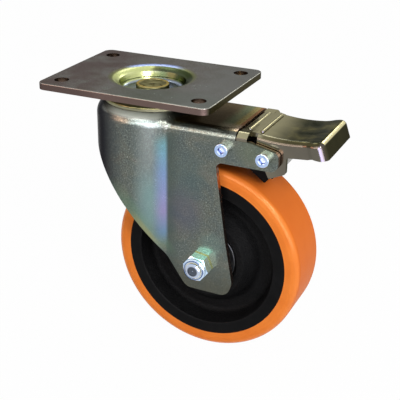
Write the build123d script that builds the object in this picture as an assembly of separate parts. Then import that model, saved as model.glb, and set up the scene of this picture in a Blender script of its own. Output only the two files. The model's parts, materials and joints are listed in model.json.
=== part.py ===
from build123d import *
import math
import os

# Swivel castor with a wheel brake, in millimetres.
# The origin is on the swivel axis in the plate's top face, X runs toward the pedal,
# Z is up and the wheel's axle lies along Y. The near side is -Y.

# fixing plate, with the cup drawn in its middle
plate_long, plate_wide, plate_thick = 137.0, 105.0, 5.0
plate_corner, plate_round = 6.5, 0.7
hole_pitch_x, hole_pitch_y, hole_r = 111.0, 76.0, 5.5
cup_r, cup_fold = 26.0, 3.0
recess_r, recess_low, recess_mouth, mouth_roll = 24.0, -10.0, 35.0, 16.0

# pressed fork: its sheet, the legs' outer faces, the round head and its flat boss
sheet = 4.0
cheek_out = 32.0
head_r, shoulder_r, shoulder_rise = 42.2, 12.0, 1.8
boss_top, crown_top, crown_fold, crease_round = -16.3, -20.45, 7.0, 8.0
axle_x = 55.4
pin1 = (72.7, -34.0)
pin2 = (103.5, -36.3)
crown_end = 80.9

# balls and the king pin
ball_r, ball_gap, ball_rise = 3.97, 0.05, 0.5
upper_pitch, upper_count = 31.0, 18
lower_pitch, lower_count, lower_drop = 20.0, 12, 2.8
race_wall, race_thick, race_sink = 3.9, 6.0, 1.9
collar_neck, collar_r, collar_lip = 33.4, 36.2, 0.9
pin_r, pin_head_r, pin_head, pin_foot_r, pin_foot = 8.0, 12.6, 5.0, 13.0, 5.5

# wheel
wheel_r, wheel_top, tyre_half, tread = 75.0, -55.1, 23.0, 10.8
rim_wall, hub_wall, web_half = 8.8, 7.5, 9.0
bearing_wide, bearing_out, bearing_in, bearing_pitch, bearing_land = 14.0, 23.5, 10.0, 16.75, 2.45
bearing_count = 8
bolt_r, bolt_past, bolt_flats, bolt_turn = 6.0, 14.0, 18.0, -8.8
nut_hex, nut_high, insert_r, insert_wide = 9.0, 12.0, 7.2, 2.4

# brake
screw_r, screw_head_r, screw_head, sleeve_r = 3.0, 5.0, 6.0, 5.0
pedal_gap, pedal_sheet, pedal_fold = 1.0, 3.0, 4.2
toe_x, toe_low, toe_lean, toe_flare, toe_corner = 147.2, -31.0, 19.4, 2.6, 6.0
pedal_back, pedal_low, pedal_brow = (95.3, -21.9), (112.0, -23.2), (139.4, -20.3)
shoe_angle, shoe_slope, shoe_gap = 57.9, 37.5, 3.85
shoe_thick, shoe_long, arm_thick, lug_thick = 10.4, 22.0, 4.0, 3.5
cam_r, cam_gap = 3.0, 0.79

# clearances
running = 0.05
seat_gap = 0.4
lip_gap = 0.3
past = 10.0

# worked out from these
cheek_in = cheek_out - sheet
head_in = head_r - sheet
boss_under = boss_top - sheet
upper_z = boss_top + ball_rise
lower_z = boss_under - lower_drop
lower_top = lower_z - race_sink
lower_bottom = lower_top - race_thick
cup_low = boss_top + 1.8
groove_r = ball_r + ball_gap
axle_z = wheel_top - wheel_r
fork_deep = axle_z - 30.0
tread_in = wheel_r - tread
hub_face = tyre_half - 0.7
bearing_face = hub_face - 2.3
bearing_mid = bearing_face - bearing_wide / 2
spacer_half = bearing_face - bearing_wide
pedal_half = cheek_in - pedal_gap
toe_half = pedal_half + toe_flare
arm_half = pedal_half - pedal_sheet - 4.0
shoe_half = arm_half - 6.0
ear_top = pin1[1] + 7.1
ear_low = pin2[1] - 9.5


def corner_path(points, place):
    """closed outline; each point is (u, v) or (u, v, corner radius)"""
    pieces, first, last = [], None, None
    count = len(points)
    for k in range(count):
        before, here, after = points[k - 1], points[k], points[(k + 1) % count]
        radius = here[2] if len(here) > 2 else 0.0
        a = Vector(before[0] - here[0], before[1] - here[1]).normalized()
        b = Vector(after[0] - here[0], after[1] - here[1]).normalized()
        corner = Vector(here[0], here[1])
        if radius > 0:
            half = math.acos(max(-1.0, min(1.0, a.dot(b)))) / 2
            cut = radius / math.tan(half)
            middle = (a + b).normalized()
            enter, leave = corner + a * cut, corner + b * cut
            bulge = corner + middle * (radius / math.sin(half) - radius)
        else:
            enter = leave = corner
            bulge = None
        if last is not None and (enter - last).length > 1e-6:
            pieces.append(Line(place(last), place(enter)))
        if bulge is not None:
            pieces.append(ThreePointArc(place(enter), place(bulge), place(leave)))
        if first is None:
            first = enter
        last = leave
    if (first - last).length > 1e-6:
        pieces.append(Line(place(last), place(first)))
    return pieces


def side_solid(points, y0, y1):
    """outline in X and Z, solid from y0 to y1"""
    face = make_face(corner_path(points, lambda p: Vector(p.X, y0, p.Y)))
    return extrude(face, amount=y1 - y0, dir=(0, 1, 0))


def plan_solid(points, z0, z1):
    """outline in X and Y, solid from z0 to z1"""
    face = make_face(corner_path(points, lambda p: Vector(p.X, p.Y, z0)))
    return extrude(face, amount=z1 - z0, dir=(0, 0, 1))


def cross_solid(points, x0, x1):
    """outline in Y and Z, solid from x0 to x1"""
    face = make_face(corner_path(points, lambda p: Vector(x0, p.X, p.Y)))
    return extrude(face, amount=x1 - x0, dir=(1, 0, 0))


def turned_z(points):
    """outline of radius and height, turned about the swivel axis"""
    return revolve(make_face(corner_path(points, lambda p: Vector(p.X, 0, p.Y))), axis=Axis.Z)


def turned_y(points, x, z):
    """outline of radius and Y, turned about an axis along Y"""
    face = make_face(corner_path(points, lambda p: Vector(p.X, p.Y, 0)))
    return Location((x, 0, z)) * revolve(face, axis=Axis.Y)


def ring_y(inner, outer, y0, y1):
    """plain ring on the axle"""
    return turned_y([(inner, y0), (outer, y0), (outer, y1), (inner, y1)], axle_x, axle_z)


def rod(x, z, radius, y0, y1):
    """round bar along Y"""
    turned = Rotation(90, 0, 0) * Cylinder(radius, y1 - y0)
    return Location((x, (y0 + y1) / 2, z)) * turned


def cross_hole(x, z, radius):
    """drill along Y through everything"""
    return rod(x, z, radius, -cheek_out - past, cheek_out + past)


def hexagon(x, z, flats, y0, y1, turn):
    """hexagonal bar along Y, first corner at turn degrees"""
    reach = flats / math.sqrt(3)
    angles = [math.radians(turn + 60 * k) for k in range(6)]
    return side_solid([(x + reach * math.cos(a), z + reach * math.sin(a)) for a in angles], y0, y1)


def both_sides(solid):
    return [solid, mirror(solid, about=Plane.XZ)]


def mirrored_outline(half):
    """half outline followed by its mirror image in the second value"""
    return half + [(p[0], -p[1]) + tuple(p[2:]) for p in reversed(half)]


def groove(pitch, height, radius):
    """ring groove about the swivel axis"""
    circle = CenterArc((pitch, -height, 0), radius, 0, 360)
    return revolve(make_face(Rotation(-90, 0, 0) * circle), axis=Axis.Z)


def ball_row(pitch, height, count):
    angles = [2 * math.pi * k / count for k in range(count)]
    return [Location((pitch * math.cos(a), pitch * math.sin(a), height)) * Sphere(ball_r) for a in angles]


# fixing plate with the drawn cup
def make_top_plate():
    half_x, half_y = plate_long / 2, plate_wide / 2
    corners = [(-half_x, -half_y), (half_x, -half_y), (half_x, half_y), (-half_x, half_y)]
    plate = plan_solid([c + (plate_corner,) for c in corners], -plate_thick, 0)
    plate = fillet(plate.edges().group_by(Axis.Z)[-1], plate_round)
    inside = 1.0 - plate_thick
    plate += turned_z([(0, inside), (cup_r, inside), (cup_r, cup_low, cup_fold), (0, cup_low)])
    plate -= recess()
    plate -= Cylinder(pin_r, 2 * (past - cup_low))
    for x in (-hole_pitch_x / 2, hole_pitch_x / 2):
        for y in (-hole_pitch_y / 2, hole_pitch_y / 2):
            plate -= Location((x, y, 0)) * Cylinder(hole_r, plate_thick + 2 * past)
    return plate


def recess():
    """hollow of the cup: a rolled mouth, a steep wall and a flat floor"""
    wall_top = recess_r + 1.2

    def roll(r):
        return (r, 0, math.sqrt(mouth_roll ** 2 - (recess_mouth - r) ** 2) - mouth_roll)

    bend = 3.0
    mouth = [Line((0, 0, past), (recess_mouth, 0, past)), Line((recess_mouth, 0, past), roll(recess_mouth)),
             ThreePointArc(roll(recess_mouth), roll((recess_mouth + wall_top) / 2), roll(wall_top))]
    wall = [Line(roll(wall_top), (recess_r, 0, recess_low + bend)),
            ThreePointArc((recess_r, 0, recess_low + bend),
                          (recess_r - bend + bend * math.sin(math.pi / 4), 0,
                           recess_low + bend - bend * math.cos(math.pi / 4)),
                          (recess_r - bend, 0, recess_low)),
            Line((recess_r - bend, 0, recess_low), (0, 0, recess_low)), Line((0, 0, recess_low), (0, 0, past))]
    return revolve(make_face(mouth + wall), axis=Axis.Z)


def make_king_pin():
    top = recess_low + pin_head
    return turned_z([(0, top - 0.4), (9.6, top - 0.4), (10.4, top), (pin_head_r, top, 0.8), (pin_head_r, recess_low),
                     (pin_r, recess_low), (pin_r, lower_bottom), (pin_foot_r, lower_bottom),
                     (pin_foot_r, lower_bottom - pin_foot, 2.5), (0, lower_bottom - pin_foot)])


def make_upper_race():
    inner, low = cup_r + seat_gap, boss_top + lip_gap
    ring = turned_z([(inner, -plate_thick), (collar_neck, -plate_thick), (collar_neck, -plate_thick - 4.3, 5),
                     (collar_r, -plate_thick - 8.4, 1.2), (collar_r, low, 0.3), (collar_r - collar_lip, low),
                     (collar_r - collar_lip, low + seat_gap), (inner, low + seat_gap)])
    return ring - groove(upper_pitch, upper_z, groove_r)


def make_lower_race():
    rim = lower_pitch + 4.4
    ring = turned_z([(pin_r, lower_top), (rim, lower_top, 0.8), (rim, lower_bottom, 2), (pin_r, lower_bottom)])
    return ring - groove(lower_pitch, lower_z, groove_r)


# fork
def fork_outline():
    """all that the side view keeps of the fork"""
    left = -head_r - past
    ear_end = pin2[0] + 10.4
    nose = [(left, -45.3), (-head_r + 6.7, -50.4, 6), (axle_x - 37.4, axle_z + 15.5, 300)]
    foot = [(axle_x - 11.5, axle_z - 22.0, 9), (axle_x + 22.2, axle_z - 22.6, 8.5),
            (axle_x + 26.2, axle_z - 11.4, 9), (axle_x + 19.6, axle_z + 24.4)]
    ear = [(66.2, ear_low, 4.5), (ear_end, ear_low, 6.5), (ear_end - 0.5, pin2[1] + 4.4, 3.2), (90.5, ear_top)]
    top = [(crown_end, ear_top), (crown_end, boss_top), (left, boss_top)]
    return side_solid(nose + foot + ear + top, -cheek_out - past, cheek_out + past)


def fork_outside():
    """drawn head and folded crown, with the crease between them rounded"""
    crest, end = boss_top + shoulder_rise, pin2[0] + 2 * past
    head = turned_z([(0, crest), (head_r, crest, shoulder_r), (head_r, fork_deep), (0, fork_deep)])
    folded = [(-cheek_out, crown_top, crown_fold), (cheek_out, crown_top, crown_fold), (cheek_out, fork_deep),
              (-cheek_out, fork_deep)]
    both = head + cross_solid(folded, 0, end)

    def in_crease(edge):
        place = edge.center()
        ends = max(abs((edge @ 0).X), abs((edge @ 1).X))
        return head_r / 4 < place.X < head_r and place.Z > fork_deep + 1 and ends < head_r + past

    return fillet([edge for edge in both.edges() if in_crease(edge)], crease_round)


def fork_inside():
    """hollow of the fork, with the ball track's underside standing into it"""
    under_round, fold = 6.2, 2.0
    bulge = groove_r + race_wall
    track_in = upper_pitch - math.sqrt(bulge ** 2 - (boss_under - upper_z) ** 2)
    low = upper_z - bulge
    aslant = math.radians(-118)
    turn = (head_in - under_round * (1 - math.sin(math.pi / 4)), 0, low - under_round * (1 - math.cos(math.pi / 4)))
    profile = [Line((0, 0, boss_under), (track_in, 0, boss_under)),
               ThreePointArc((track_in, 0, boss_under),
                             (upper_pitch + bulge * math.cos(aslant), 0, upper_z + bulge * math.sin(aslant)),
                             (upper_pitch, 0, low)),
               Line((upper_pitch, 0, low), (head_in - under_round, 0, low)),
               ThreePointArc((head_in - under_round, 0, low), turn, (head_in, 0, low - under_round)),
               Line((head_in, 0, low - under_round), (head_in, 0, fork_deep - past)),
               Line((head_in, 0, fork_deep - past), (0, 0, fork_deep - past)),
               Line((0, 0, fork_deep - past), (0, 0, boss_under))]
    crown_under = crown_top - sheet
    folded = [(-cheek_in, crown_under, fold), (cheek_in, crown_under, fold), (cheek_in, fork_deep - past),
              (-cheek_in, fork_deep - past)]
    start = math.sqrt(head_in ** 2 - cheek_in ** 2) - 0.5
    return revolve(make_face(profile), axis=Axis.Z) + cross_solid(folded, start, pin2[0] + 3 * past)


def make_fork():
    fork = (fork_outside() - fork_inside()) & fork_outline()
    fork -= groove(upper_pitch, upper_z, groove_r)
    fork -= groove(lower_pitch, lower_z, groove_r)
    fork -= Cylinder(pin_r + 4.0, 2 * (past - boss_under))
    fork -= cross_hole(axle_x, axle_z, bolt_r + 0.1)
    for x, z in (pin1, pin2):
        fork -= cross_hole(x, z, screw_r + 0.1)
    return fork


# axle
def make_axle_bolt():
    end, face, head = -cheek_out - bolt_past, cheek_out, 7.5
    bolt = rod(axle_x, axle_z, bolt_r, end, face)
    bolt -= turned_y([(0, end - 0.5), (3.4, end - 0.5), (3.4, end + 0.6), (0, end + 1.4)], axle_x, axle_z)
    rims = bolt.edges().filter_by(GeomType.CIRCLE).group_by(Axis.Y)[0]
    bolt = chamfer(rims.group_by(SortBy.RADIUS)[-1], 0.9)
    crown = turned_y([(0, face - 1), (12, face - 1), (12, face + head - 1.7), (8.6, face + head), (0, face + head)],
                     axle_x, axle_z)
    return bolt + (hexagon(axle_x, axle_z, bolt_flats, face, face + head, bolt_turn) & crown)


def make_axle_nut():
    face, hexed, end = -cheek_out, -cheek_out - nut_hex, -cheek_out - nut_high
    crown = turned_y([(0, hexed), (9.0, hexed), (12, hexed + 2), (12, face + 1), (0, face + 1)], axle_x, axle_z)
    nut = hexagon(axle_x, axle_z, bolt_flats, hexed, face, bolt_turn) & crown
    nut += turned_y([(0, end), (7.6, end), (8.8, end + 1.1), (8.8, hexed + 1), (0, hexed + 1)], axle_x, axle_z)
    nut -= rod(axle_x, axle_z, bolt_r, end - past, face + past)
    nut -= rod(axle_x, axle_z, insert_r, end + 0.8, end + 0.8 + insert_wide)
    return nut - rod(axle_x, axle_z, insert_r - 0.3, end - past, end + 1)


def make_nut_insert():
    start = -cheek_out - nut_high + 0.8
    return ring_y(bolt_r, insert_r, start, start + insert_wide)


def make_axle_tube():
    return ring_y(bolt_r, bearing_in, -cheek_in, cheek_in)


def make_hub_spacer():
    return ring_y(bearing_in, bearing_in + 3.0, -spacer_half, spacer_half)


def make_side_bushes():
    neck, flange = bearing_in + 3.6, bearing_in + 6.5
    return both_sides(turned_y([(bearing_in, bearing_face), (neck, bearing_face), (neck, cheek_in - 4.0),
                                (flange, cheek_in - 2.8), (flange, cheek_in), (bearing_in, cheek_in)],
                               axle_x, axle_z))


# two deep groove bearings in the hub
def ball_track():
    circle = CenterArc((bearing_pitch, bearing_mid, 0), groove_r, 0, 360)
    return Location((axle_x, 0, axle_z)) * revolve(make_face(circle), axis=Axis.Y)


def make_bearing_outer():
    inner, start = bearing_pitch + bearing_land, spacer_half
    ring = turned_y([(inner, start), (bearing_out, start, 0.8), (bearing_out, bearing_face, 0.8),
                     (inner, bearing_face)], axle_x, axle_z)
    return both_sides(ring - ball_track())


def make_bearing_inner():
    return both_sides(ring_y(bearing_in, bearing_pitch - bearing_land, spacer_half, bearing_face) - ball_track())


def make_bearing_balls():
    balls = []
    for k in range(bearing_count):
        turn = 2 * math.pi * k / bearing_count
        place = Location((axle_x + bearing_pitch * math.cos(turn), bearing_mid,
                          axle_z + bearing_pitch * math.sin(turn)))
        balls += both_sides(place * Sphere(ball_r))
    return balls


def make_bearing_seals():
    inner, outer = bearing_pitch - bearing_land + lip_gap, bearing_pitch + bearing_land
    return both_sides(ring_y(inner, outer, bearing_face - 1.5, bearing_face - 0.6))


# wheel
def make_wheel_rim():
    hub_r, rim_in = bearing_out + hub_wall, tread_in - rim_wall
    dish_in, dish_out = hub_r + 9.5, rim_in - 4.4
    dish_round = 0.4 * (dish_out - dish_in)
    mouth = [(bearing_out, hub_face - 2.2), (bearing_out + 2.3, hub_face)]
    hub = [(hub_r, hub_face - 0.6, 2.5), (hub_r + 6.0, web_half + 6.0, 6)]
    dish = [(dish_in, web_half, dish_round), (dish_out, web_half, dish_round)]
    lip = [(rim_in - 0.5, tyre_half - 0.4), (rim_in, tyre_half), (tread_in, tyre_half)]
    shoulder = bearing_out - 2.5
    bore = [(bearing_out, -spacer_half), (shoulder, -spacer_half)]
    return turned_y(mirrored_outline(mouth + hub + dish + lip) + mirrored_outline(bore), axle_x, axle_z)


def make_tyre():
    flank_r, bulge, crown = wheel_r - 6.0, tyre_half + 0.1, tyre_half - 1.2
    half = [(tread_in, tyre_half), (flank_r, bulge, 4), (wheel_r, crown, 4.6)]
    return turned_y(mirrored_outline(half), axle_x, axle_z)


# brake screws
def make_pivot_sleeves():
    return [rod(x, z, sleeve_r, -cheek_in, cheek_in) - cross_hole(x, z, screw_r) for x, z in (pin1, pin2)]


def cap_screw(x, z):
    face, socket, turn = -cheek_out, 5.0, 12
    top = face - screw_head
    head = turned_y([(0, top), (screw_head_r, top, 0.6), (screw_head_r, face), (0, face)], x, z)
    head -= hexagon(x, z, socket, top - 0.5, top + 3.0, turn)
    return head + rod(x, z, screw_r, face - 0.5, cheek_out + 6.4)


def make_brake_screws():
    return [cap_screw(x, z) for x, z in (pin1, pin2)]


def make_brake_nuts():
    high, flats, turn = 5.0, 10.0, 12
    end = cheek_out + high
    nuts = []
    for x, z in (pin1, pin2):
        crown = turned_y([(0, cheek_out - 1), (7, cheek_out - 1), (7, end - 0.8), (5.0, end), (0, end)], x, z)
        nuts.append((hexagon(x, z, flats, cheek_out, end, turn) & crown) - cross_hole(x, z, screw_r))
    return nuts


# brake shoe: its toe stands off the tyre, and its underside runs down toward the toe
toe_reach, toe_turn, slope = wheel_r + shoe_gap, math.radians(shoe_angle), math.radians(shoe_slope)
shoe_toe = (axle_x + toe_reach * math.cos(toe_turn), axle_z + toe_reach * math.sin(toe_turn))


def shoe_point(along, up):
    """place on the shoe, along its underside from the toe and up from it"""
    return (shoe_toe[0] + along * math.cos(slope) + up * math.sin(slope),
            shoe_toe[1] - along * math.sin(slope) + up * math.cos(slope))


def make_brake_shoe():
    outline = [shoe_point(-shoe_long, 0) + (3,), shoe_point(0, 0) + (1.3,), shoe_point(0, shoe_thick),
               shoe_point(-shoe_long, shoe_thick)]
    shoe = side_solid(outline, -shoe_half, shoe_half)
    sides = shoe.edges().filter_by(Axis.Y, reverse=True).group_by(Axis.Y)
    return fillet(sides[0] + sides[-1], 0.8)


def make_brake_arm():
    low, high, inner = shoe_thick, shoe_thick + arm_thick, arm_half - lug_thick
    tip, root, lug_tip = 2.0, -shoe_long - 5.0, -14.0
    arm = side_solid([shoe_point(tip, low) + (1,), shoe_point(tip, high) + (1,), shoe_point(root, high),
                      shoe_point(root, low)], -arm_half, arm_half)
    x, z = pin1
    lug = side_solid([shoe_point(lug_tip, high), shoe_point(lug_tip, low), (x + 7.3, z - 11.5, 4),
                      (x - 5.7, z - 13.5, 5), (x - 8.1, z + 5.4, 6), (x + 1.3, z + 9.1, 6), (x + 9.3, z + 0.5, 5)],
                     -arm_half, -inner)
    eye = rod(x, z, sleeve_r + 2.6, -arm_half, -inner)
    for piece in both_sides(lug) + both_sides(eye):
        arm += piece
    return arm - cross_hole(x, z, sleeve_r + running)


# the pedal's cam bar lies just over the arm, behind the shoe's toe
cam_x, cam_z = shoe_point(-1.1, shoe_thick + arm_thick + cam_gap + cam_r)


def make_cam_bar():
    return rod(cam_x, cam_z, cam_r, 1.0 - pedal_half, pedal_half - 1.0)


# brake pedal: its top is one hollow arc through three measured points
def circle_through(a, b, c):
    d = 2 * (a[0] * (b[1] - c[1]) + b[0] * (c[1] - a[1]) + c[0] * (a[1] - b[1]))
    squares = [p[0] ** 2 + p[1] ** 2 for p in (a, b, c)]
    x = (squares[0] * (b[1] - c[1]) + squares[1] * (c[1] - a[1]) + squares[2] * (a[1] - b[1])) / d
    z = (squares[0] * (c[0] - b[0]) + squares[1] * (a[0] - c[0]) + squares[2] * (b[0] - a[0])) / d
    return x, z, math.hypot(a[0] - x, a[1] - z)


hollow_x, hollow_z, hollow_r = circle_through(pedal_back, pedal_low, pedal_brow)
lean = math.radians(toe_lean)


def pedal_top(x, inset=0.0):
    """height of the hollow top at x, or of the sheet's underside"""
    return hollow_z - math.sqrt((hollow_r + inset) ** 2 - (x - hollow_x) ** 2)


def pedal_side(rear, below, inset):
    """solid under the hollow top, closed by the outline below from the toe back to the rear"""
    y, front = -toe_half - past, toe_x + past
    ends = [(front, pedal_top(front, inset)), (rear, pedal_top(rear, inset))]
    middle = (front + rear) / 2
    top = ThreePointArc((rear, y, ends[1][1]), (middle, y, pedal_top(middle, inset)), (front, y, ends[0][1]))
    rest = corner_path([ends[0]] + below + [ends[1]], lambda p: Vector(p.X, y, p.Y))
    return extrude(make_face([top] + rest[:-1]), amount=-2 * y, dir=(0, 1, 0))


def pedal_plan(inset):
    """pedal seen from above, its toe wider than the rest and leaning out as it goes down"""
    half, toe, end = pedal_half - inset, toe_half - inset, toe_x - inset / math.cos(lean)
    rear, high, low = pedal_back[0] - 3 * past, past, cam_z - 2 * past
    shift = (toe_low - high) * math.tan(lean)
    flare = toe_x - 9.2 + 0.3 * inset
    near = [(rear, -half), (flare - 6.0, -half, 10), (flare, -toe, 8), (end, -toe, toe_corner - inset)]
    outline = [(p[0] + shift,) + tuple(p[1:]) for p in near]
    outline += [(p[0], -p[1]) + tuple(p[2:]) for p in reversed(outline)]
    face = make_face(corner_path(outline, lambda p: Vector(p.X, p.Y, high)))
    return extrude(face, amount=(high - low) / math.cos(lean), dir=(math.sin(lean), 0, -math.cos(lean)))


def rounded_top(solid, radius):
    """rolls over the folds round the hollow top"""
    def on_top(edge):
        place = edge.center()
        return place.X > pedal_back[0] + 1 and abs(place.Z - pedal_top(place.X)) < 0.5 * pedal_sheet
    return fillet([edge for edge in solid.edges() if on_top(edge)], radius)


def make_brake_pedal():
    x, z = pin2
    leg_end = cam_x + 10.0
    skirt = [(toe_x + past, toe_low), (toe_x - 5.4, -32.8, 5), (toe_x - 10.7, -32.5, 3), (toe_x - 14.6, -34.1, 2),
             (leg_end, -35.4, 1.2), (leg_end, cam_z + 0.6, 2.4), (cam_x + 6.9, cam_z - 1.0),
             (cam_x - 2.6, cam_z - 5.2, 1.2), (x - 2.5, z - 8.7, 6), (pedal_back[0], z - 4.7, 5)]
    block = pedal_side(pedal_back[0], skirt, 0.0) & pedal_plan(0.0)
    block = rounded_top(block, pedal_fold)
    rear, deep = pedal_back[0] - past, cam_z - 4 * past
    hollow = pedal_side(rear, [(toe_x + past, deep), (rear, deep)], pedal_sheet) & pedal_plan(pedal_sheet)
    shell = block - hollow
    for piece in rear_sheet() + [bead(crown_end + 6.0, pedal_back[1]), bead(pedal_back[0] + 1.1, pedal_back[1])]:
        shell += piece
    shell -= cross_hole(x, z, sleeve_r + running)
    return shell - rod(cam_x, cam_z, cam_r, 1.0 - pedal_half, pedal_half - 1.0)


def rear_sheet():
    """narrow sheet behind the hollow top, with the two side lugs that rest on the fork's ears"""
    high, low = pedal_back[1] + 0.5, pedal_back[1] - pedal_sheet + 0.3
    start, lug_end, half, foot = crown_end + 1.4, crown_end + 9.2, pedal_half - 2.8, cheek_out + 1.2
    back = pedal_back[0] - 1.3
    sheet_line = [(start, high, 1.0), (back, high, 4), (back + 4, pedal_top(back + 4)), (back + 4, low - 0.4),
                  (back, low, 4), (start, low)]
    lug = cross_solid([(4.2 - half, high), (3.5 - cheek_out, high + 0.5, 3.5), (-foot, ear_top + 2.9, 0.8),
                       (-foot, ear_top + seat_gap, 0.5), (-pedal_half, ear_top + seat_gap, 2), (4.2 - half, low)],
                      start, lug_end)
    return [side_solid(sheet_line, -half, half)] + both_sides(lug)


def bead(x, z):
    """stiffening bead pressed up across the pedal"""
    radius, reach = 1.5, 19.5
    ends = [Location((x, y, z)) * Sphere(radius) for y in (-reach, reach)]
    return rod(x, z, radius, -reach, reach) + ends[0] + ends[1]


nodes = {
    "top_plate": make_top_plate,
    "king_pin": make_king_pin,
    "upper_race": make_upper_race,
    "lower_race": make_lower_race,
    "upper_balls": lambda: ball_row(upper_pitch, upper_z, upper_count),
    "lower_balls": lambda: ball_row(lower_pitch, lower_z, lower_count),
    "fork": make_fork,
    "axle_bolt": make_axle_bolt,
    "axle_nut": make_axle_nut,
    "nut_insert": make_nut_insert,
    "axle_tube": make_axle_tube,
    "side_bushes": make_side_bushes,
    "hub_spacer": make_hub_spacer,
    "bearing_inner_rings": make_bearing_inner,
    "bearing_outer_rings": make_bearing_outer,
    "bearing_balls": make_bearing_balls,
    "bearing_seals": make_bearing_seals,
    "wheel_rim": make_wheel_rim,
    "tyre": make_tyre,
    "pivot_sleeves": make_pivot_sleeves,
    "brake_screws": make_brake_screws,
    "brake_nuts": make_brake_nuts,
    "brake_pedal": make_brake_pedal,
    "cam_bar": make_cam_bar,
    "brake_arm": make_brake_arm,
    "brake_shoe": make_brake_shoe,
}

os.makedirs("parts", exist_ok=True)
for name, make in nodes.items():
    made = make()
    pieces = made if isinstance(made, list) else list(made.solids())
    shape = Compound(children=pieces) if len(pieces) > 1 else pieces[0]
    shape.label = name
    export_step(shape, f"parts/{name}.step")
    box = shape.bounding_box()
    print(name, len(pieces), [round(v, 1) for v in box.min], [round(v, 1) for v in box.max],
          "volume", round(sum(p.volume for p in pieces) / 1000, 2))
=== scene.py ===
import json
import math

import bpy
from mathutils import Matrix, Vector


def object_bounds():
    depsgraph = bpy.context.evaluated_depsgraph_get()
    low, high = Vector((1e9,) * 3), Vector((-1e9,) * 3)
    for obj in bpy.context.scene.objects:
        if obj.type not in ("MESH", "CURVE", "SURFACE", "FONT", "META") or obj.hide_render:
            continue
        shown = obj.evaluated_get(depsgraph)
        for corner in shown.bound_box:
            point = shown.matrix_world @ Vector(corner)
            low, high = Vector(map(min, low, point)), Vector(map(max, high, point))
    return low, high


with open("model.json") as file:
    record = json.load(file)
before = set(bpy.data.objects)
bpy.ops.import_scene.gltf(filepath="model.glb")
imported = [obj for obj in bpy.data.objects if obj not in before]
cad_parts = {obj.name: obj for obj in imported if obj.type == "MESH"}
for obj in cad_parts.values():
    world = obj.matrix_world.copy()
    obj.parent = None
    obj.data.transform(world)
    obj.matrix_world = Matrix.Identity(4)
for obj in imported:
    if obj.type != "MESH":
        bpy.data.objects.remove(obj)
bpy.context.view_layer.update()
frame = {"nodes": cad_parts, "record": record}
nodes = frame["nodes"]
bpy.ops.object.select_all(action="DESELECT")
print("scene: loaded", len(nodes), "nodes")

# where the castor's parts turn or stand, in millimetres, and what is kept of a place to measure from each axis
swivelPlace, aboutSwivel = (0, 0, 0), (1, 1, 0)
axlePlace, aboutAxle = (55.4, 0, -130.1), (1, 0, 1)
capScrewPlaces = ((72.7, 0, -34.0), (103.5, 0, -36.3))
plateHolePlace = (55.5, 38, 0)
perMetre = 1000  # millimetres


def linearColour(code):
    # sRGB hex, such as 8a8f70, to the linear values that the shaders take
    values = [int(code[k:k + 2], 16) / 255 for k in (0, 2, 4)]
    return [v / 12.92 if v <= 0.04045 else ((v + 0.055) / 1.055) ** 2.4 for v in values] + [1.0]


def addNode(tree, kind, settings=None, links=None):
    # one node with its settings, its stops if it is a ramp, and what feeds it
    node = tree.nodes.new(kind)
    for name, value in (settings or {}).items():
        if name == "stops":
            ramp = node.color_ramp.elements
            while len(ramp) < len(value):
                ramp.new(1.0)
            for element, (position, code) in zip(ramp, value):
                element.position = position
                element.color = linearColour(code)
        elif isinstance(name, int) or (name in node.inputs and not hasattr(node, name)):
            node.inputs[name].default_value = value
        else:
            setattr(node, name, value)
    for name, socket in (links or {}).items():
        tree.links.new(socket, node.inputs[name])
    return node


def newMaterial(name, values):
    # a material with only its shader
    material = bpy.data.materials.new(name)
    material.use_nodes = True
    tree = material.node_tree
    tree.nodes.clear()
    shader = addNode(tree, "ShaderNodeBsdfPrincipled", values)
    addNode(tree, "ShaderNodeOutputMaterial", links={"Surface": shader.outputs["BSDF"]})
    return material, tree, shader


# patterns that the finishes share, all in millimetres

def inMillimetres(tree):
    # the place on the object
    metres = addNode(tree, "ShaderNodeTexCoord").outputs["Object"]
    return addNode(tree, "ShaderNodeVectorMath", {"operation": "SCALE", "Scale": perMetre}, {0: metres}).outputs[0]


def joined(tree, zones):
    # where all of the zones meet
    inside = zones[0]
    for other in zones[1:]:
        inside = addNode(tree, "ShaderNodeMath", {"operation": "MULTIPLY"}, {0: inside, 1: other}).outputs[0]
    return inside


def zone(tree, value, rise, fall=None):
    # 1 inside the zone and 0 outside it, eased over each pair of values
    ease = {"interpolation_type": "SMOOTHSTEP"}
    zones = [addNode(tree, "ShaderNodeMapRange", {**ease, 1: rise[0], 2: rise[1]}, {0: value}).outputs[0]]
    if fall:
        zones.append(addNode(tree, "ShaderNodeMapRange", {**ease, 1: fall[1], 2: fall[0]}, {0: value}).outputs[0])
    return joined(tree, zones)


def distance(tree, place, centre, keep):
    # from a point, or from an axis where keep leaves one direction out
    moved = addNode(tree, "ShaderNodeVectorMath", {"operation": "SUBTRACT", 1: centre}, {0: place})
    flat = addNode(tree, "ShaderNodeVectorMath", {"operation": "MULTIPLY", 1: keep}, {0: moved.outputs[0]})
    return addNode(tree, "ShaderNodeVectorMath", {"operation": "LENGTH"}, {0: flat.outputs[0]}).outputs["Value"]


def pastLine(tree, place, direction, offset):
    # how far a place lies past a straight edge
    along = addNode(tree, "ShaderNodeVectorMath", {"operation": "DOT_PRODUCT", 1: direction}, {0: place})
    return addNode(tree, "ShaderNodeMath", {"operation": "ADD", 1: offset}, {0: along.outputs["Value"]}).outputs[0]


cloudRoughness = 0.55


def cloud(tree, place, size, low, high, detail=3.0):
    # blotches of one size, 0 under the low value of the noise and 1 over the high one
    noise = addNode(tree, "ShaderNodeTexNoise",
                    {"Scale": 1 / size, "Detail": detail, "Roughness": cloudRoughness}, {"Vector": place})
    return zone(tree, noise.outputs["Fac"], (low, high))


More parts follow.
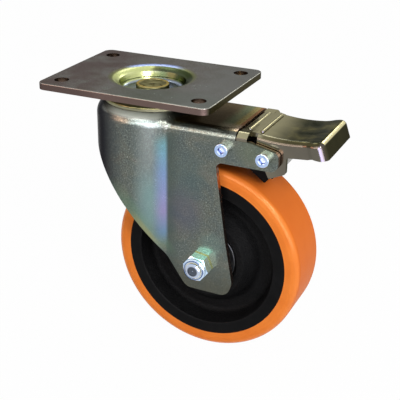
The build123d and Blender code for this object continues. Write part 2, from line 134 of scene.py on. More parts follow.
def mottled(tree, place, look):
    # uneven ground colour: the noise, and its colour by the look's stops
    noise = addNode(tree, "ShaderNodeTexNoise", {
        "Scale": 1 / look["mottle"], "Detail": look.get("mottleDetail", 4.0),
        "Roughness": look.get("mottleRoughness", 0.5), "Distortion": look.get("mottleDistortion", 0.0)},
        {"Vector": place}).outputs["Fac"]
    return noise, addNode(tree, "ShaderNodeValToRGB", {"stops": look["stops"]}, {0: noise}).outputs[0]


def gauges(tree, place, axis, keep):
    # what can bound a patch: the place, the way the face looks, and the distance from an axis
    across = addNode(tree, "ShaderNodeSeparateXYZ", links={0: place}).outputs
    normal = addNode(tree, "ShaderNodeTexCoord").outputs["Normal"]
    facing = addNode(tree, "ShaderNodeSeparateXYZ", links={0: normal}).outputs
    sideways = addNode(tree, "ShaderNodeMath", {"operation": "ABSOLUTE"}, {0: facing["Y"]}).outputs[0]
    return {"x": across["X"], "y": across["Y"], "z": across["Z"], "facingX": facing["X"], "facingZ": facing["Z"],
            "sideways": sideways, "radius": distance(tree, place, axis, keep)}


def bounded(tree, place, gauge, patch):
    # 1 on the patch: inside the pairs of values of each gauge that it names, its cloud and its spot
    zones = []
    for name, limits in patch.items():
        if name == "cloud":
            zones.append(cloud(tree, place, *limits))
        elif name == "spot":
            centre, keep, edge = limits
            zones.append(zone(tree, distance(tree, place, centre, keep), edge))
        elif name not in ("colour", "share"):
            zones.append(zone(tree, gauge[name], *limits))
    return joined(tree, zones)


def patched(tree, place, gauge, colour, patches):
    # lays each patch over what is under it, as far as its share allows
    for patch in patches.values():
        inside = bounded(tree, place, gauge, patch)
        amount = addNode(tree, "ShaderNodeMath", {"operation": "MULTIPLY", 1: patch["share"]}, {0: inside})
        colour = addNode(tree, "ShaderNodeMix", {"data_type": "RGBA", 7: linearColour(patch["colour"])},
                         {0: amount.outputs[0], 6: colour}).outputs[2]
    return colour


def relief(tree, shader, heights):
    # raises the surface by each pattern, by its height in millimetres
    normal = None
    for pattern, height in heights:
        bump = addNode(tree, "ShaderNodeBump", {"Strength": 1.0, "Distance": height / perMetre}, {"Height": pattern})
        if normal:
            tree.links.new(normal, bump.inputs["Normal"])
        normal = bump.outputs["Normal"]
    tree.links.new(normal, shader.inputs["Normal"])


def follow(tree, shader, socket, pattern, low, high):
    # a value of the shader that runs from low to high with a pattern
    value = addNode(tree, "ShaderNodeMapRange", {3: low, 4: high}, {0: pattern}).outputs[0]
    tree.links.new(value, shader.inputs[socket])


# camera solved from the photo: plate corners and holes, tyre edges and axle
view = {"target": (0.0402, 0.0, -0.09335), "azimuth": 24.43, "elevation": 24.30, "roll": 0.78,
        "distance": 0.70777, "focalPixels": 916.74, "picturePixels": 400, "sensor": 36.0, "clip": (0.01, 50)}


def placeCamera():
    camera = bpy.data.objects.new("camera", bpy.data.cameras.new("camera"))
    bpy.context.scene.collection.objects.link(camera)
    camera.data.sensor_width = view["sensor"]
    camera.data.lens = view["focalPixels"] / view["picturePixels"] * view["sensor"]
    camera.data.clip_start, camera.data.clip_end = view["clip"]
    a, e, r = (math.radians(view[k]) for k in ("azimuth", "elevation", "roll"))
    back = Vector((math.sin(a) * math.cos(e), -math.cos(a) * math.cos(e), math.sin(e)))
    flatRight = Vector((math.cos(a), math.sin(a), 0))
    flatUp = back.cross(flatRight)
    right = flatRight * math.cos(r) + flatUp * math.sin(r)
    up = flatUp * math.cos(r) - flatRight * math.sin(r)
    turned = Matrix((right, up, back)).transposed().to_4x4()
    camera.matrix_world = Matrix.Translation(Vector(view["target"]) + back * view["distance"]) @ turned
    bpy.context.scene.camera = camera


# softboxes, by where each one stands, its size in metres and its power in watts
# a card only shows in the gloss: those in front make the fork's bright shoulder and the light on the pedal's toe,
# and those behind make the lights in the plate's recess
aimPlace = (0.03, 0, -0.04)
softboxes = {
    "frontCard": {"place": (0.20, -1.19, 0.26), "size": (1.50, 0.26), "watts": 10.5,
                  "colour": "ffffff", "card": True},
    "leftCard": {"place": (-0.82, -0.93, 0.30), "size": (0.75, 0.50), "watts": 6.8,
                 "colour": "e6b49c", "card": True},
    "highCard": {"place": (0.00, -1.02, 0.62), "size": (0.85, 0.28), "watts": 3.6,
                 "colour": "ffffff", "card": True},
    "toeCard": {"place": (0.62, -0.76, -0.08), "size": (1.05, 0.34), "watts": 6.65,
                "colour": "f8f4ff", "card": True},
    "sideSoftbox": {"place": (0.83, -0.72, 0.58), "size": (0.34, 0.40), "watts": 8.6,
                    "colour": "ffffff", "card": False},
    "backCard": {"place": (-0.36, 0.77, 0.76), "size": (0.50, 0.18), "watts": 1.3,
                 "colour": "f4f4ff", "card": True},
    "crestCard": {"place": (0.26, 0.98, 0.58), "size": (0.40, 0.18), "watts": 1.5,
                  "colour": "fffdf2", "card": True},
    "topCard": {"place": (-0.46, 0.41, 0.97), "size": (0.24, 0.24), "watts": 1.0,
                "colour": "fffdf2", "card": True},
}


def placeLights():
    for name, box in softboxes.items():
        lamp = bpy.data.lights.new(name, "AREA")
        lamp.shape = "RECTANGLE"
        lamp.size, lamp.size_y = box["size"]
        lamp.energy = box["watts"]
        lamp.color = linearColour(box["colour"])[:3]
        piece = bpy.data.objects.new(name, lamp)
        bpy.context.scene.collection.objects.link(piece)
        piece.location = box["place"]
        piece.rotation_euler = (Vector(aimPlace) - piece.location).to_track_quat("-Z", "Y").to_euler()
        piece.visible_diffuse = not box["card"]


# the room is white where it is seen, also in metal, and a little darker in the light that it gives
room = {"seen": "ffffff", "light": "f0f2f4", "lightStrength": 0.66}
floorLook = {"radius": 6, "corners": 96, "gap": 0.0002, "colour": "dedede", "roughness": 0.9, "whiteShare": 0.98}


def seenDirectly(tree):
    # 1 for what the camera sees, also by way of metal or glass
    path = addNode(tree, "ShaderNodeLightPath").outputs
    shiny = addNode(tree, "ShaderNodeMath", {"operation": "MAXIMUM"},
                    {0: path["Is Glossy Ray"], 1: path["Is Transmission Ray"]})
    return addNode(tree, "ShaderNodeMath", {"operation": "MAXIMUM"},
                   {0: path["Is Camera Ray"], 1: shiny.outputs[0]}).outputs[0]


def paintWorld():
    world = bpy.data.worlds.new("studio")
    bpy.context.scene.world = world
    world.use_nodes = True
    tree = world.node_tree
    tree.nodes.clear()
    light = addNode(tree, "ShaderNodeBackground",
                    {"Color": linearColour(room["light"]), "Strength": room["lightStrength"]})
    white = addNode(tree, "ShaderNodeBackground", {"Color": linearColour(room["seen"]), "Strength": 1.0})
    mixed = addNode(tree, "ShaderNodeMixShader",
                    links={0: seenDirectly(tree), 1: light.outputs[0], 2: white.outputs[0]})
    addNode(tree, "ShaderNodeOutputWorld", links={"Surface": mixed.outputs[0]})


def makeFloor():
    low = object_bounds()[0]
    bpy.ops.mesh.primitive_circle_add(vertices=floorLook["corners"], radius=floorLook["radius"], fill_type="NGON",
                                      location=(0, 0, low.z - floorLook["gap"]))
    floor = bpy.context.object
    floor.name = "floor"
    # pale studio paper: matte, and nearly white where it is seen
    material, tree, shader = newMaterial("paleStudioPaper", {
        "Base Color": linearColour(floorLook["colour"]), "Roughness": floorLook["roughness"],
        "Specular IOR Level": 0.0})
    glow = addNode(tree, "ShaderNodeEmission", {"Color": linearColour(room["seen"]), "Strength": 1.0})
    share = addNode(tree, "ShaderNodeMath", {"operation": "MULTIPLY", 1: floorLook["whiteShare"]},
                    {0: seenDirectly(tree)})
    mixed = addNode(tree, "ShaderNodeMixShader",
                    links={0: share.outputs[0], 1: shader.outputs[0], 2: glow.outputs[0]})
    output = next(node for node in tree.nodes if node.type == "OUTPUT_MATERIAL")
    tree.links.new(mixed.outputs[0], output.inputs["Surface"])
    floor.data.materials.append(material)


# yellow chromate on zinc plated sheet: a grey green metal, mottled by the bath, with the fine sparkle of the
# sheet's grain and the low waves of the drawing; both are drawn coarser than they are, so that they show
edgeTint = (0.42, 0.42, 0.42, 1.0)  # the film darkens at a shallow angle
chromate = {
    "mottle": 15.0, "mottleRoughness": 0.6, "mottleDistortion": 0.6, "smooth": 0.20, "rough": 0.31,
    "grain": (0.55, 0.3, 0.75, 2.0), "grainHeight": 0.012, "wave": (2.4, 0.2, 0.8, 2.0), "waveHeight": 0.03,
    "patches": {
        "sheen": {"cloud": (0.55, 0.3, 0.75, 2.0), "colour": "8d9088", "share": 0.22},
        "fleck": {"cloud": (0.77, 0.69, 0.76, 1.0), "colour": "c4c9c2", "share": 0.45},
        "speck": {"cloud": (1.155, 0.36, 0.27, 1.0), "colour": "2f312c", "share": 0.32},
    },
}


def chromateFilm(tree, place, shader, stops):
    # the film's ground colour on its sheet, with its relief and its gloss
    noise, colour = mottled(tree, place, {**chromate, "stops": stops})
    wave = cloud(tree, place, *chromate["wave"])
    grain = cloud(tree, place, *chromate["grain"])
    relief(tree, shader, [(wave, chromate["waveHeight"]), (grain, chromate["grainHeight"])])
    follow(tree, shader, "Roughness", noise, chromate["smooth"], chromate["rough"])
    return patched(tree, place, {}, colour, chromate["patches"])


# the fork's film: thin and grey green on the legs, with a rainbow along the crease where it is thicker, by height
# from the foot to the top, also lighter there as a painted highlight; painted shade makes the head's front nearly
# black
crownTop = {"facingZ": [(0.75, 0.95)], "width": [(29.5, 27.5)]}
forkLook = {
    "stops": [(0.32, "4f5958"), (0.44, "545c59"), (0.55, "5a5f58"), (0.68, "62625a")],
    "rainbowHeight": (-125.0, -22.0),
    # the film's rainbow by height, lighter than the legs so that it also stands as the crease's painted highlight
    "rainbowAndHighlight": [(0.02, "647d76"), (0.16, "6c87a2"), (0.32, "8d87ae"), (0.48, "8089b0"), (0.62, "7289ab"),
                (0.78, "688e9c"), (0.92, "668b89")],
    "crease": {"x": [(17, 26.2), (26.2, 29.4)], "z": [(-124, -108), (-40, -28)]},
    # the leg's slanting front edge, as two straight lines
    "upperEdge": ((0.768, 0, 0.640), 59.5), "lowerEdge": ((0.823, 0, 0.568), 50.3),
    "patches": {
        "paleGrain": {"cloud": (1.0, 0.48, 0.66, 2.0), "colour": "959c96", "share": 0.36},
        "darkGrain": {"cloud": (1.1, 0.46, 0.32, 2.0), "colour": "303533", "share": 0.40},
        # painted shade: the head's front made nearly black
        "headFront": {"x": [(2, -26)], "colour": "2c2b30", "share": 0.92},
        # painted highlight: the head's side lighter towards the crease
        "headSide": {"x": [(2, 14), (16, 26)], "colour": "8a9494", "share": 0.50},
        # painted highlight: a teal band just before the crease
        "beforeCrease": {"x": [(0, 18), (26.4, 28.0)], "z": [(-116, -96), (-80, -50)],
                         "colour": "6e9594", "share": 0.55},
        # painted shade: darker just past the crease, on the flat cheek
        "afterCrease": {"x": [(26.6, 28.2), (29, 42)], "z": [(-28, -30)], "colour": "45524e", "share": 0.65},
        "violetCheek": {"spot": ((42, -32, -88), (1, 0, 0.7), (20, 4)), "colour": "57556a", "share": 0.42},
        "tealCheek": {"spot": ((46, -32, -60), (1, 0, 0.6), (18, 3)), "colour": "4f6263", "share": 0.45},
        "greenEar": {"spot": ((96, -32, -34), (0.8, 0, 1), (16, 3)), "colour": "68745a", "share": 0.32},
        # painted reflection: the nut's mint mirrored in the leg above it
        "aboveNut": {"spot": ((64, -32, -112), (1, 0, 1), (13, 5)), "colour": "8aa89c", "share": 0.16},
        "brownFoot": {"z": [(-122, -150)], "colour": "4a483c", "share": 0.60},
        "greenEdge": {"edge": [(10, 3)], "z": [(-130, -114), (-90, -66)], "colour": "68876c", "share": 0.40},
        "strawEdge": {"edge": [(4.0, 0.8)], "z": [(-124, -112), (-104, -88)], "colour": "98935c", "share": 0.50},
    },
    # the boss: a pale ring on the head's front as a painted highlight, and less of a mirror there so that it takes
    # the light
    "boss": {"radius": [(34.6, 36.0), (39.4, 41.0)], "z": [(-21.6, -20.4)], "x": [(-30, -10), (20, 30)],
             "colour": "e6e9dc", "share": 0.9},
    "bossMetallic": 0.25,
    # the crown's flat top, brown under the plate, with the film's colours along its rear edge, and the sheared
    # edges, pink where the film is thin and lighter as a painted highlight
    "topPatches": {
        "crownShade": {**crownTop, "x": [(24, 34)], "colour": "74654c", "share": 0.92},
        "crownGreen": {**crownTop, "x": [(62, 71)], "colour": "8f9a78", "share": 0.80},
        "crownStraw": {**crownTop, "x": [(72, 76)], "colour": "b8a468", "share": 0.75},
        "crownBrown": {**crownTop, "x": [(77.8, 79.2)], "colour": "9c7050", "share": 0.90},
        "crownCream": {**crownTop, "x": [(62, 72)], "y": [(-14, -22)], "colour": "c9b9a0", "share": 0.70},
        # the sheared edges: pink where the film is thin, and lighter as a painted highlight along them
        "shearedEdge": {"sideways": [(0.10, 0.05)], "outward": [(0.2, 0.3)], "colour": "c4a898", "share": 0.85},
    },
}


def forkFinish():
    material, tree, shader = newMaterial("forkYellowChromate", {"Metallic": 1.0, "Specular Tint": edgeTint})
    place = inMillimetres(tree)
    colour = chromateFilm(tree, place, shader, forkLook["stops"])
    gauge = gauges(tree, place, swivelPlace, aboutSwivel)
    upper, lower = (pastLine(tree, place, *forkLook[name]) for name in ("upperEdge", "lowerEdge"))
    gauge["edge"] = addNode(tree, "ShaderNodeMath", {"operation": "MINIMUM"}, {0: upper, 1: lower}).outputs[0]
    gauge["width"] = addNode(tree, "ShaderNodeMath", {"operation": "ABSOLUTE"}, {0: gauge["y"]}).outputs[0]
    # forward or down, which is how the legs' sheared edges look
    under = addNode(tree, "ShaderNodeMath", {"operation": "MULTIPLY", 1: -1.0}, {0: gauge["facingZ"]}).outputs[0]
    gauge["outward"] = addNode(tree, "ShaderNodeMath", {"operation": "MAXIMUM"},
                               {0: gauge["facingX"], 1: under}).outputs[0]
    colour = patched(tree, place, gauge, colour, forkLook["patches"])

    foot, top = forkLook["rainbowHeight"]
    tall = addNode(tree, "ShaderNodeMapRange", {1: foot, 2: top}, {0: gauge["z"]}).outputs[0]
    rainbowAndHighlight = addNode(tree, "ShaderNodeValToRGB", {"stops": forkLook["rainbowAndHighlight"]}, {0: tall}).outputs[0]
    crease = bounded(tree, place, gauge, forkLook["crease"])
    colour = addNode(tree, "ShaderNodeMix", {"data_type": "RGBA"}, {0: crease, 6: colour, 7: rainbowAndHighlight}).outputs[2]

    # the boss's painted highlight, with less metal under it
    colour = patched(tree, place, gauge, colour, {"boss": forkLook["boss"]})
    bossHighlightMask = bounded(tree, place, gauge, forkLook["boss"])
    follow(tree, shader, "Metallic", bossHighlightMask, 1.0, forkLook["bossMetallic"])
    colour = patched(tree, place, gauge, colour, forkLook["topPatches"])
    tree.links.new(colour, shader.inputs["Base Color"])
    return material


# the plate's film: greyer, with brown clouds at the leading end, and yellow green in the drawn cup; its sheared
# sides are pink on the long edges and olive on the short ones, with a painted highlight along the rolled top edge
plateSide = {"facingZ": [(-0.40, -0.25), (0.25, 0.40)], "radius": [(46, 48)]}
plateLook = {
    "stops": [(0.32, "605d55"), (0.45, "68635b"), (0.55, "6c6763"), (0.68, "6b6d65")],
    "patches": {
        "paleGrain": {"cloud": (1.1, 0.42, 0.68, 2.0), "colour": "95948f", "share": 0.40},
        "darkGrain": {"cloud": (0.9, 0.46, 0.30, 2.0), "colour": "3d3a35", "share": 0.42},
        "brownEnd": {"x": [(-12, -40)], "cloud": (24, 0.30, 0.60), "colour": "594845", "share": 0.65},
        "greenNear": {"y": [(-14, -34)], "x": [(-20, 10)], "colour": "5c6558", "share": 0.50},
        "greyEnd": {"x": [(20, 56)], "colour": "787a76", "share": 0.60},
        "cup": {"radius": [(34.5, 30)], "colour": "74784c", "share": 0.82},
        # painted highlight: a thin pale line on the step in the cup's wall
        "cupStepHighlight": {"radius": [(27, 25.8), (25.4, 24.4)], "colour": "c2c4b4", "share": 0.80},
        # painted shade: the cup's far wall darker
        "cupFarWallShade": {"radius": [(23.0, 24.0), (29.4, 30.2)], "y": [(8, 15)], "colour": "585c38", "share": 0.70},
        # painted reflection: a lilac line on the far side of the cup's mouth
        "cupFarMouthReflection": {"radius": [(29.6, 30.6), (33.4, 34.6)], "y": [(10, 22)], "x": [(16, 0)],
                        "colour": "8290b4", "share": 0.85},
        # painted shade: the cup's right wall darker
        "cupRightWallShade": {"radius": [(21, 23), (29, 31)], "x": [(-12, -4)], "colour": "39432f", "share": 0.85},
        # painted highlight: the cup's left wall pale yellow green
        "cupLeftWallHighlight": {"radius": [(22, 24), (29, 31)], "x": [(-10, -15)], "colour": "d6dd98", "share": 0.80},
        # painted light: the cup's floor made paler and blue grey
        "cupFloorPaintedLight": {"radius": [(24.0, 22.6)], "colour": "98a2b4", "share": 0.90},
        "cupFloorClouds": {"radius": [(22, 20), (14.5, 13)], "cloud": (7, 0.40, 0.60),
                           "colour": "9da284", "share": 0.45},
        # painted reflection: the cup's floor bluer on its left
        "cupFloorLeftReflection": {"radius": [(22.4, 20)], "x": [(-4, -14)], "colour": "8b90a6", "share": 0.55},
        "longSides": {**plateSide, "colour": "63514c", "share": 0.90},
        "leadingSides": {**plateSide, "x": [(-10, -40)], "colour": "4d423f", "share": 0.60},
        "shortSides": {**plateSide, "endways": [(0.72, 0.95)], "colour": "4c4a38", "share": 0.90},
        # painted shade: the walls of the holes darker
        "holeWallShade": {"facingZ": [(-0.40, -0.25), (0.25, 0.40)], "hole": [(6.8, 6.2)],
                      "colour": "594a3e", "share": 0.90},
        # painted highlight: a bright line along the rolled top edge
        "rolledEdgeHighlight": {"facingZ": [(0.35, 0.5), (0.80, 0.95)], "radius": [(46, 48)],
                       "colour": "a9a8a0", "share": 0.70},
    },
}


def plateFinish():
    material, tree, shader = newMaterial("plateYellowChromate", {"Metallic": 1.0, "Specular Tint": edgeTint})
    place = inMillimetres(tree)
    colour = chromateFilm(tree, place, shader, plateLook["stops"])
    gauge = gauges(tree, place, swivelPlace, aboutSwivel)
    gauge["endways"] = addNode(tree, "ShaderNodeMath", {"operation": "ABSOLUTE"}, {0: gauge["facingX"]}).outputs[0]
    # folded into one quarter, so that one hole stands for all four
    quarter = addNode(tree, "ShaderNodeVectorMath", {"operation": "ABSOLUTE"}, {0: place}).outputs[0]
    gauge["hole"] = distance(tree, quarter, plateHolePlace, aboutSwivel)
    colour = patched(tree, place, gauge, colour, plateLook["patches"])
    tree.links.new(colour, shader.inputs["Base Color"])
    return material


# the collar's film: thicker, so more yellow
collarLook = {
    "stops": [(0.30, "544e2d"), (0.45, "645e38"), (0.58, "757047"), (0.70, "87835d")],
    "patches": {
        # painted highlights: a yellow band round the collar's top and a pale one round its lip
        "top": {"z": [(-9.6, -8.2)], "colour": "7d7740", "share": 0.70},
        "lipHighlight": {"z": [(-13.8, -14.6)], "colour": "8f8f7c", "share": 0.60},
    },
}


def collarFinish():
    material, tree, shader = newMaterial("collarYellowChromate", {"Metallic": 1.0, "Specular Tint": edgeTint})
    place = inMillimetres(tree)
    colour = chromateFilm(tree, place, shader, collarLook["stops"])
    gauge = gauges(tree, place, swivelPlace, aboutSwivel)
    colour = patched(tree, place, gauge, colour, collarLook["patches"])
    tree.links.new(colour, shader.inputs["Base Color"])
    return material


# the pedal's film: on smooth sheet, so it mirrors the room in olive and straw over long low waves
pedalLook = {
    "mottle": 13.0, "mottleDetail": 3.0, "mottleDistortion": 0.4, "smooth": 0.10, "rough": 0.18,
    "stops": [(0.32, "33352a"), (0.44, "45463a"), (0.54, "54523f"), (0.66, "6f6b4c")],
    "wave": (14.0, 0.2, 0.8, 1.0), "waveHeight": 0.06, "grain": (0.5, 0.3, 0.7, 2.0), "grainHeight": 0.003,
    "patches": {
        # painted reflection: the rear of the pedal's top paler olive
        "root": {"x": [(122, 97)], "colour": "aaa484", "share": 0.82},
        "skirt": {"sideways": [(0.75, 0.97)], "colour": "69645b", "share": 0.85},
        # painted shade: darker and pink where the near fold meets the skirt
        "skirtTop": {"sideways": [(0.76, 0.86)], "facingZ": [(0.12, 0.24)], "colour": "43372f", "share": 0.75},
        # painted highlight: a straw line along the toe's crest
        "toeCrest": {"facingX": [(0.15, 0.30), (0.70, 0.85)], "sideways": [(0.30, 0.20)], "x": [(134, 140)],
                     "colour": "f0e6b4", "share": 0.90},
        # painted reflection: lilac on the toe's near corner, tinting the lamp's light there
        "toeCorner": {"facingX": [(0.15, 0.30), (0.86, 0.94)], "sideways": [(0.30, 0.45)],
                      "colour": "6d687c", "share": 0.85},
        # painted shade: the toe's front face dark
        "toeFront": {"facingX": [(0.7, 0.9)], "x": [(134, 140)], "colour": "424133", "share": 0.95},
        # painted shade: a dark band along the near fold
        "sideFold": {"sideways": [(0.25, 0.45), (0.75, 0.9)], "x": [(96, 100)], "colour": "4b452a", "share": 0.70},
    },
}


def pedalFinish():
    material, tree, shader = newMaterial("pedalGlossyChromate", {"Metallic": 1.0, "Specular Tint": edgeTint})
    place = inMillimetres(tree)
    noise, colour = mottled(tree, place, pedalLook)
    gauge = gauges(tree, place, swivelPlace, aboutSwivel)
    colour = patched(tree, place, gauge, colour, pedalLook["patches"])
    tree.links.new(colour, shader.inputs["Base Color"])
    wave, grain = (cloud(tree, place, *pedalLook[name]) for name in ("wave", "grain"))
    relief(tree, shader, [(wave, pedalLook["waveHeight"]), (grain, pedalLook["grainHeight"])])
    follow(tree, shader, "Roughness", noise, pedalLook["smooth"], pedalLook["rough"])
    return material


# clear blue passivation on zinc plated fasteners: a pale blue mirror, straw and mint on the flanks, with a yellow
# line where the lock nut meets its flange and a dark line inside the nut's lip
nutFlank = {"sideways": [(0.55, 0.25)], "radius": [(8.6, 9.0), (13, 15)]}
boltTip = {"y": [(-43.4, -43.7)]}
fastenerLook = {
    "mottle": 2.6, "mottleDetail": 3.0, "smooth": 0.12, "rough": 0.24,
    "stops": [(0.32, "9cb3d2"), (0.48, "bad1ee"), (0.60, "d2e3f8"), (0.72, "c8dee6")],
    "grain": (0.35, 0.3, 0.7, 2.0), "grainHeight": 0.006,
    "patches": {
        "flank": {"sideways": [(0.55, 0.25)], "colour": "cfcdb8", "share": 0.80},
        "nutFlank": {**nutFlank, "colour": "cdd6c2", "share": 0.80},
        "nutTop": {**nutFlank, "facingZ": [(0.35, 0.6)], "colour": "c2faec", "share": 0.85},
        "nutLine": {**nutFlank, "y": [(-33.4, -32.9), (-30, -29)], "colour": "e6dc7c", "share": 0.80},
        "nutFace": {"sideways": [(0.75, 0.95)], "radius": [(5.9, 6.3), (13, 15)], "colour": "b4d2f4", "share": 0.75},
        "nutLip": {"y": [(-43.0, -43.3)], "radius": [(7.0, 7.2), (7.8, 8.1)], "colour": "2c3f78", "share": 0.80},
        # painted highlight and painted shade on the bolt's hollow end: a pale ring round a dark centre
        "boltTip": {**boltTip, "radius": [(5.9, 5.5)], "colour": "b9c2d6", "share": 0.85},
        "boltCentreShade": {**boltTip, "radius": [(4.5, 3.5)], "colour": "3b414b", "share": 0.92},
    },
    "capScrewPatches": {
        "face": {"sideways": [(0.75, 0.95)], "screw": [(7.0, 6.5)], "colour": "a4bbe6", "share": 0.70},
        # painted shade on the sockets' walls and a painted highlight on their floors
        "socketWallShade": {"screw": [(3.1, 2.7)], "y": [(-37.9, -37.6), (-34, -33)], "colour": "35467e", "share": 0.90},
        "socketFloorHighlight": {"screw": [(2.4, 2.0)], "y": [(-35.8, -35.4), (-34, -33)], "colour": "e6eefa", "share": 0.95},
    },
}


def fastenerFinish():
    material, tree, shader = newMaterial("bluePassivatedZinc", {"Metallic": 1.0})
    place = inMillimetres(tree)
    noise, colour = mottled(tree, place, fastenerLook)
    gauge = gauges(tree, place, axlePlace, aboutAxle)
    colour = patched(tree, place, gauge, colour, fastenerLook["patches"])
    for screwPlace in capScrewPlaces:
        gauge["screw"] = distance(tree, place, screwPlace, aboutAxle)
        colour = patched(tree, place, gauge, colour, fastenerLook["capScrewPatches"])
    tree.links.new(colour, shader.inputs["Base Color"])
    relief(tree, shader, [(cloud(tree, place, *fastenerLook["grain"]), fastenerLook["grainHeight"])])
    follow(tree, shader, "Roughness", noise, fastenerLook["smooth"], fastenerLook["rough"])
    return material


# riveted king pin, turned and chromated: the tool's rings, the dimple left by the riveting and a yellow rim
kingPinLook = {
    "mottle": 5.0, "smooth": 0.22, "rough": 0.36,
    "stops": [(0.34, "5c5636"), (0.48, "6e6949"), (0.62, "84805c")],
    "ringPitch": 0.8, "ringHeight": 0.02, "dimpleEdge": (0.6, 2.6), "dimpleDepth": 0.5,
    "patches": {
        # painted shade: the dimple darker
        "dimple": {"radius": [(3.2, 1.2)], "colour": "57513a", "share": 0.70},
        "rim": {"radius": [(9.8, 10.8), (11.6, 12.4)], "colour": "b49b54", "share": 0.75},
    },
}


def kingPinFinish():
    material, tree, shader = newMaterial("rivetedPinChromate", {"Metallic": 1.0, "Specular Tint": edgeTint})
    place = inMillimetres(tree)
    noise, colour = mottled(tree, place, kingPinLook)
    gauge = gauges(tree, place, swivelPlace, aboutSwivel)
    colour = patched(tree, place, gauge, colour, kingPinLook["patches"])
    tree.links.new(colour, shader.inputs["Base Color"])
    turn = addNode(tree, "ShaderNodeMath", {"operation": "MULTIPLY", 1: 2 * math.pi / kingPinLook["ringPitch"]},
                   {0: gauge["radius"]}).outputs[0]
    rings = addNode(tree, "ShaderNodeMath", {"operation": "SINE"}, {0: turn}).outputs[0]
    dimple = zone(tree, gauge["radius"], kingPinLook["dimpleEdge"])
    relief(tree, shader, [(rings, kingPinLook["ringHeight"]), (dimple, kingPinLook["dimpleDepth"])])
    follow(tree, shader, "Roughness", noise, kingPinLook["smooth"], kingPinLook["rough"])
    return material


# oiled steel: turned, with fine tool marks, or ground to a mirror, with darker clouds where the oil lies;
# the bushes and the bearings' outer rings are duller than the rest
oil = {"clouds": (5.0, 0.40, 0.70), "mottle": 6.0, "mottleDetail": 4.0,
       "marks": (0.4, 0.3, 0.7, 2.0), "markHeight": 0.004}
steelLooks = {
    "turnedSteel": {"clean": "a3a29d", "oiled": "93928d", "smooth": 0.22, "rough": 0.36},
    "groundBearingSteel": {"clean": "bdbdbb", "oiled": "a7a6a4", "smooth": 0.06, "rough": 0.12},
    "dullZincBush": {"clean": "5c5f62", "oiled": "636463", "smooth": 0.30, "rough": 0.44},
    "groundBearingRing": {"clean": "505255", "oiled": "5c5c5b", "smooth": 0.34, "rough": 0.46},
}


def steelFinish(name):
    look = steelLooks[name]
    material, tree, shader = newMaterial(name, {"Metallic": 1.0})
    place = inMillimetres(tree)
    oily = cloud(tree, place, *oil["clouds"])
    colour = addNode(tree, "ShaderNodeValToRGB", {"stops": [(0.0, look["clean"]), (1.0, look["oiled"])]}, {0: oily})
    tree.links.new(colour.outputs[0], shader.inputs["Base Color"])
    relief(tree, shader, [(cloud(tree, place, *oil["marks"]), oil["markHeight"])])
    noise = addNode(tree, "ShaderNodeTexNoise", {"Scale": 1 / oil["mottle"], "Detail": oil["mottleDetail"]},
                    {"Vector": place})
    follow(tree, shader, "Roughness", noise.outputs["Fac"], look["smooth"], look["rough"])
    return material


# satin black stoving paint on sand cast iron: smooth on the machined rim, and on the web inside it the sand's
# grain shows through, drawn coarser than it is so that it shows, with the paint worn grey on its peaks
ironLook = {
    "gloss": 0.06, "mottle": 9.0, "stops": [(0.3, "070708"), (0.5, "0a0a0b"), (0.7, "0e0e0f")],
    "webEdge": (57, 54), "sand": (1.0, 0.25, 0.75, 3.0), "sandHeight": 0.26,
    "orangePeel": (0.5, 0.3, 0.7, 2.0), "orangePeelHeight": 0.015,
    "roughEdge": (57, 53), "smooth": 0.38, "rough": 0.55,
    "patches": {"worn": {"cloud": (0.9, 0.57, 0.68, 2.0), "radius": [(57, 54)], "colour": "1f1f1f", "share": 0.70}},
}


def ironFinish():
    material, tree, shader = newMaterial("blackPaintOnCastIron", {"Specular IOR Level": ironLook["gloss"]})
    place = inMillimetres(tree)
    colour = mottled(tree, place, ironLook)[1]
    gauge = gauges(tree, place, axlePlace, aboutAxle)
    colour = patched(tree, place, gauge, colour, ironLook["patches"])
    tree.links.new(colour, shader.inputs["Base Color"])
    web = zone(tree, gauge["radius"], ironLook["webEdge"])
    sand = joined(tree, [cloud(tree, place, *ironLook["sand"]), web])
    peel = cloud(tree, place, *ironLook["orangePeel"])
    relief(tree, shader, [(sand, ironLook["sandHeight"]), (peel, ironLook["orangePeelHeight"])])
    dull = zone(tree, gauge["radius"], ironLook["roughEdge"])
    follow(tree, shader, "Roughness", dull, ironLook["smooth"], ironLook["rough"])
    return material


# cast polyurethane: evenly orange and slightly waxy, deeper on the face that runs on the floor, and rubbed
# bright on its rounded shoulders; the mean gloss is for an exported model, which drops the pattern of the gloss
treadLook = {
    "ior": 1.4, "gloss": 0.05, "shoulderGloss": 0.60, "meanGloss": 0.12, "tint": "ffcf9e",
    "mottle": 12.0, "stops": [(0.30, "ec7f34"), (0.50, "f08437"), (0.72, "f3893b")],
    "skin": (0.9, 0.2, 0.8, 3.0), "skinHeight": 0.012,
    "shoulder": ((0.30, 0.50), (0.93, 0.99)), "shoulderRoughness": 0.20, "roughness": 0.42,
    "patches": {"running": {"sideways": [(0.6, 0.2)], "colour": "d96a20", "share": 0.70}},
}


def treadFinish():
    material, tree, shader = newMaterial("castPolyurethane", {
        "Specular IOR Level": treadLook["meanGloss"], "IOR": treadLook["ior"],
        "Specular Tint": linearColour(treadLook["tint"])})
    place = inMillimetres(tree)
    colour = mottled(tree, place, treadLook)[1]
    gauge = gauges(tree, place, axlePlace, aboutAxle)
    colour = patched(tree, place, gauge, colour, treadLook["patches"])
    tree.links.new(colour, shader.inputs["Base Color"])
    relief(tree, shader, [(cloud(tree, place, *treadLook["skin"]), treadLook["skinHeight"])])
    shoulder = zone(tree, gauge["sideways"], *treadLook["shoulder"])
    follow(tree, shader, "Specular IOR Level", shoulder, treadLook["gloss"], treadLook["shoulderGloss"])
    follow(tree, shader, "Roughness", shoulder, treadLook["roughness"], treadLook["shoulderRoughness"])
    return material


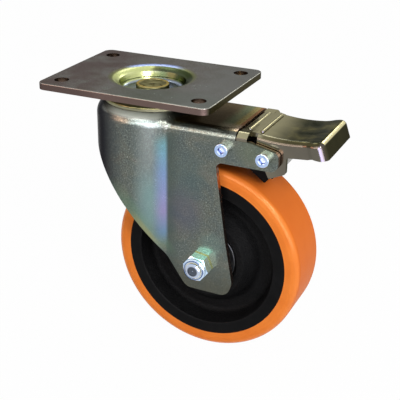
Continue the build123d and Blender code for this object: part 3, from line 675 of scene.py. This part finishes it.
# painted steel, moulded rubber and nylon: matte or satin, with only a fine grain to break the light
black = [(0.3, "070708"), (0.5, "0b0b0d"), (0.7, "101012")]
natural = [(0.3, "cfcfc8"), (0.5, "dadad3"), (0.7, "e2e2dc")]
plainLooks = {
    "blackPaintedSteel": {"mottle": 7.0, "stops": black, "grain": (0.9, 0.3, 0.7), "grainHeight": 0.02,
                          "smooth": 0.38, "rough": 0.50, "gloss": 0.06},
    "mouldedBlackRubber": {"mottle": 7.0, "stops": black, "grain": (0.7, 0.3, 0.7), "grainHeight": 0.04,
                           "smooth": 0.55, "rough": 0.70, "gloss": 0.05},
    "bearingSealRubber": {"mottle": 7.0, "stops": black, "grain": (0.5, 0.3, 0.7), "grainHeight": 0.01,
                          "smooth": 0.45, "rough": 0.60, "gloss": 0.25},
    "naturalNylon": {"mottle": 7.0, "stops": natural, "grain": (0.8, 0.3, 0.7), "grainHeight": 0.01,
                     "smooth": 0.35, "rough": 0.45, "gloss": 0.50},
}


def plainFinish(name):
    look = plainLooks[name]
    material, tree, shader = newMaterial(name, {"Specular IOR Level": look["gloss"]})
    place = inMillimetres(tree)
    noise, colour = mottled(tree, place, look)
    tree.links.new(colour, shader.inputs["Base Color"])
    relief(tree, shader, [(cloud(tree, place, *look["grain"]), look["grainHeight"])])
    follow(tree, shader, "Roughness", noise, look["smooth"], look["rough"])
    return material


def dressNodes():
    # by the slot of each node, apart from four nodes that have a finish of their own
    finishes = {
        "yellow_zinc": forkFinish(), "pedal_zinc": pedalFinish(), "blue_zinc": fastenerFinish(),
        "king_pin_steel": kingPinFinish(), "race_steel": steelFinish("turnedSteel"),
        "ball_steel": steelFinish("groundBearingSteel"), "black_iron": ironFinish(),
        "orange_tread": treadFinish(), "black_steel": plainFinish("blackPaintedSteel"),
        "black_rubber": plainFinish("mouldedBlackRubber"), "seal_rubber": plainFinish("bearingSealRubber"),
        "nylon": plainFinish("naturalNylon"),
    }
    ownFinish = {
        "top_plate": plateFinish(), "upper_race": collarFinish(), "side_bushes": steelFinish("dullZincBush"),
        "bearing_outer_rings": steelFinish("groundBearingRing"),
    }
    for part in frame["record"]["subparts"]:
        piece = nodes[part["node"]]
        piece.data.materials.clear()
        piece.data.materials.append(ownFinish.get(part["node"], finishes[part["material_slot"]]))


placeCamera()
print("scene: camera placed")
placeLights()
paintWorld()
makeFloor()
print("scene: lit by", len(softboxes), "softboxes, with a floor")
dressNodes()
print("scene: dressed", len(nodes), "nodes")

bpy.context.scene.view_settings.view_transform = "Standard"
